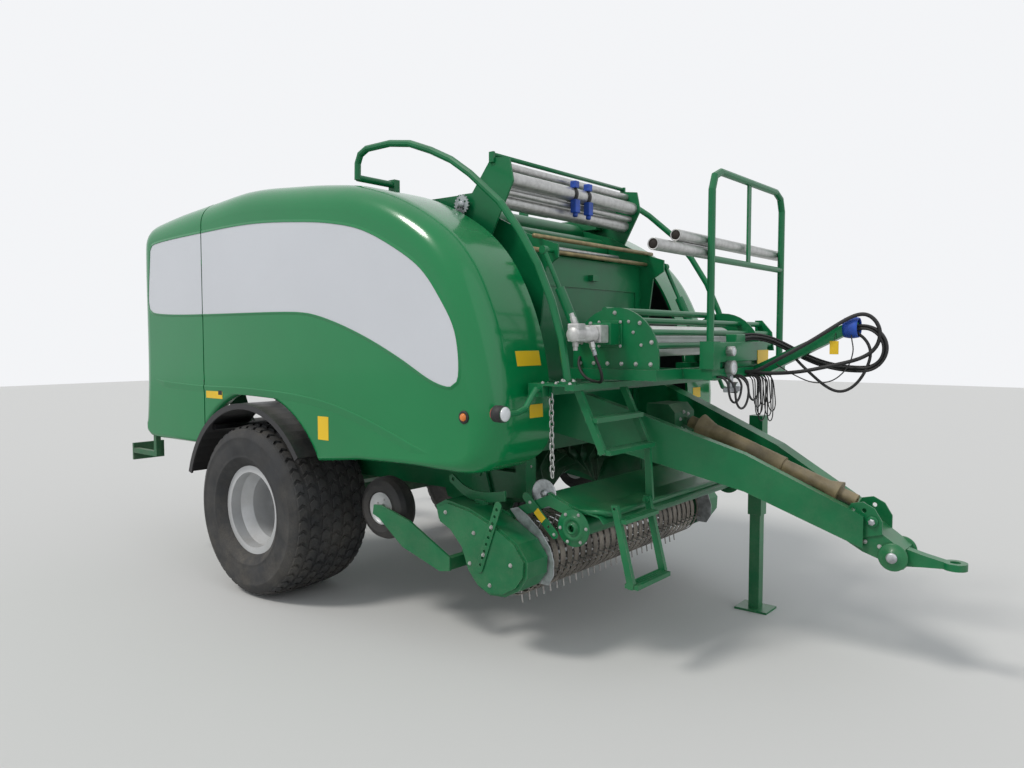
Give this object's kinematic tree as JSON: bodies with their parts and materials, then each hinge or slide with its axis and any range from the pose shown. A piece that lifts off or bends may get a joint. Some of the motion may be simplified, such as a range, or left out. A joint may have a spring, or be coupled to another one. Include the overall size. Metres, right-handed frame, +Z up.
{
  "type": "baler and bale wrapper",
  "caption": "Towed machine that rolls crop into a round bale and wraps it in film, with hollow side covers, pick-up, chamber, wrapping ring and drawbar.",
  "frame": {"origin": "on the ground under the middle of the overall length, on the centre line", "axes": "+X forward to the hitch eye, +Y to the machine's left, +Z up"},
  "size_m": [6.1399, 2.9638, 3.062],
  "materials": {
    "green_cover": "glossy green moulded covers",
    "green_paint": "satin green paint, worn at the edges",
    "dark_green_paint": "shaded green paint with dust",
    "silver_rim": "silver painted wheel",
    "tyre_rubber": "dusty black rubber",
    "black_plastic": "black moulded plastic",
    "pale_inlay": "pale satin film",
    "bare_steel": "worn bare steel",
    "film_white": "white film on a roll",
    "pto_guard": "faded tan guard tubes",
    "band_steel": "scuffed bands",
    "tine_steel": "spring steel tines",
    "rubber_black": "black rubber"
  },
  "bodies": {
    "chassis": {"chassis": "green_paint", "axle": "dark_green_paint", "mudguards": "black_plastic", "chamber_sides": "green_paint", "chamber_front": "green_paint", "front_rollers": "green_paint", "top_rollers": "bare_steel", "top_frame": "green_paint", "cover_frames": "dark_green_paint", "rear_cover_right": "green_cover", "rear_cover_left": "green_cover", "inlay_rear_right": "pale_inlay", "inlay_rear_left": "pale_inlay", "ring_frame": "dark_green_paint", "rear_lamps": "dark_green_paint", "drawbar": "green_paint", "hitch_eye": "green_paint", "jack_sleeve": "green_paint", "jack_leg": "green_paint", "gearbox": "dark_green_paint", "pto_shaft": "pto_guard", "step_frame": "green_paint", "arch_guards": "green_paint", "handrail": "green_paint", "roll_carriers": "bare_steel", "net_unit": "green_paint", "net_rollers": "rubber_black", "net_roll": "film_white", "tension_cylinders": "green_paint", "hose_arm": "green_paint", "ladder_upper": "green_paint", "side_lamps": "green_paint", "hoses": "rubber_black"},
    "wheel_right": {"rim_right": "silver_rim", "tyre_right": "tyre_rubber"},
    "wheel_left": {"rim_left": "silver_rim", "tyre_left": "tyre_rubber"},
    "side_door_right": {"side_door_right": "green_cover", "inlay_door_right": "pale_inlay"},
    "side_door_left": {"side_door_left": "green_cover", "inlay_door_left": "pale_inlay"},
    "upper_door": {"upper_door": "green_paint", "upper_door_rollers": "green_paint"},
    "transfer_cradle": {"transfer_cradle": "green_paint", "transfer_rollers": "green_paint"},
    "wrap_ring": {"wrap_ring": "green_paint", "film_dispensers": "bare_steel", "film_rolls": "film_white"},
    "wrap_table": {"wrap_table": "green_paint", "table_rollers": "rubber_black"},
    "ladder_step": {"ladder_lower": "green_paint"},
    "pickup": {"pickup_frame": "green_paint", "pickup_bands": "band_steel", "pickup_guards": "green_paint", "gauge_arms": "green_paint"},
    "pickup_reel": {"pickup_reel": "tine_steel"},
    "crop_guard": {"crop_guard": "green_paint"},
    "feed_rotor": {"feed_rotor": "dark_green_paint"},
    "gauge_wheel_right": {"gauge_wheel_right": "rubber_black"},
    "gauge_wheel_left": {"gauge_wheel_left": "rubber_black"}
  },
  "joints": [
    {"name": "wheel_right_spin", "type": "hinge", "parent": "chassis", "child": "wheel_right", "pos_m": [-1.118, -1.139, 0.609], "axis": [0, 1, 0], "continuous": true},
    {"name": "wheel_left_spin", "type": "hinge", "parent": "chassis", "child": "wheel_left", "pos_m": [-1.118, 1.139, 0.609], "axis": [0, 1, 0], "continuous": true},
    {"name": "side_door_right_swing", "type": "hinge", "parent": "chassis", "child": "side_door_right", "pos_m": [-1.738, -1.38, 1.8], "axis": [0, 0, -1], "range_deg": [0, 75]},
    {"name": "side_door_left_swing", "type": "hinge", "parent": "chassis", "child": "side_door_left", "pos_m": [-1.738, 1.38, 1.8], "axis": [0, 0, 1], "range_deg": [0, 75]},
    {"name": "upper_door_lift", "type": "hinge", "parent": "chassis", "child": "upper_door", "pos_m": [-0.258, 0, 2.7], "axis": [0, 1, 0], "range_deg": [0, 50]},
    {"name": "transfer_tip", "type": "hinge", "parent": "chassis", "child": "transfer_cradle", "pos_m": [-0.868, 0, 1.05], "axis": [0, -1, 0], "range_deg": [0, 60]},
    {"name": "wrap_ring_spin", "type": "hinge", "parent": "chassis", "child": "wrap_ring", "pos_m": [-1.818, 0, 1.64], "axis": [1, 0, 0], "continuous": true},
    {"name": "wrap_table_tip", "type": "hinge", "parent": "chassis", "child": "wrap_table", "pos_m": [-1.718, 0, 0.96], "axis": [0, -1, 0], "range_deg": [0, 20]},
    {"name": "ladder_fold", "type": "hinge", "parent": "chassis", "child": "ladder_step", "pos_m": [1.572, -0.8, 0.905], "axis": [0, -1, 0], "range_deg": [0, 95]},
    {"name": "pickup_lift", "type": "hinge", "parent": "chassis", "child": "pickup", "pos_m": [0.442, 0, 0.95], "axis": [0, -1, 0], "range_deg": [-15, 3]},
    {"name": "pickup_reel_spin", "type": "hinge", "parent": "pickup", "child": "pickup_reel", "pos_m": [0.892, 0, 0.52], "axis": [0, 1, 0], "continuous": true},
    {"name": "crop_guard_lift", "type": "hinge", "parent": "pickup", "child": "crop_guard", "pos_m": [0.842, 0, 0.762], "axis": [0, -1, 0], "range_deg": [0, 14]},
    {"name": "feed_rotor_spin", "type": "hinge", "parent": "chassis", "child": "feed_rotor", "pos_m": [0.442, 0, 0.95], "axis": [0, 1, 0], "continuous": true},
    {"name": "gauge_wheel_right_spin", "type": "hinge", "parent": "pickup", "child": "gauge_wheel_right", "pos_m": [-0.058, -1.09, 0.72], "axis": [0, 1, 0], "continuous": true},
    {"name": "gauge_wheel_left_spin", "type": "hinge", "parent": "pickup", "child": "gauge_wheel_left", "pos_m": [-0.058, 1.09, 0.72], "axis": [0, 1, 0], "continuous": true}
  ]
}
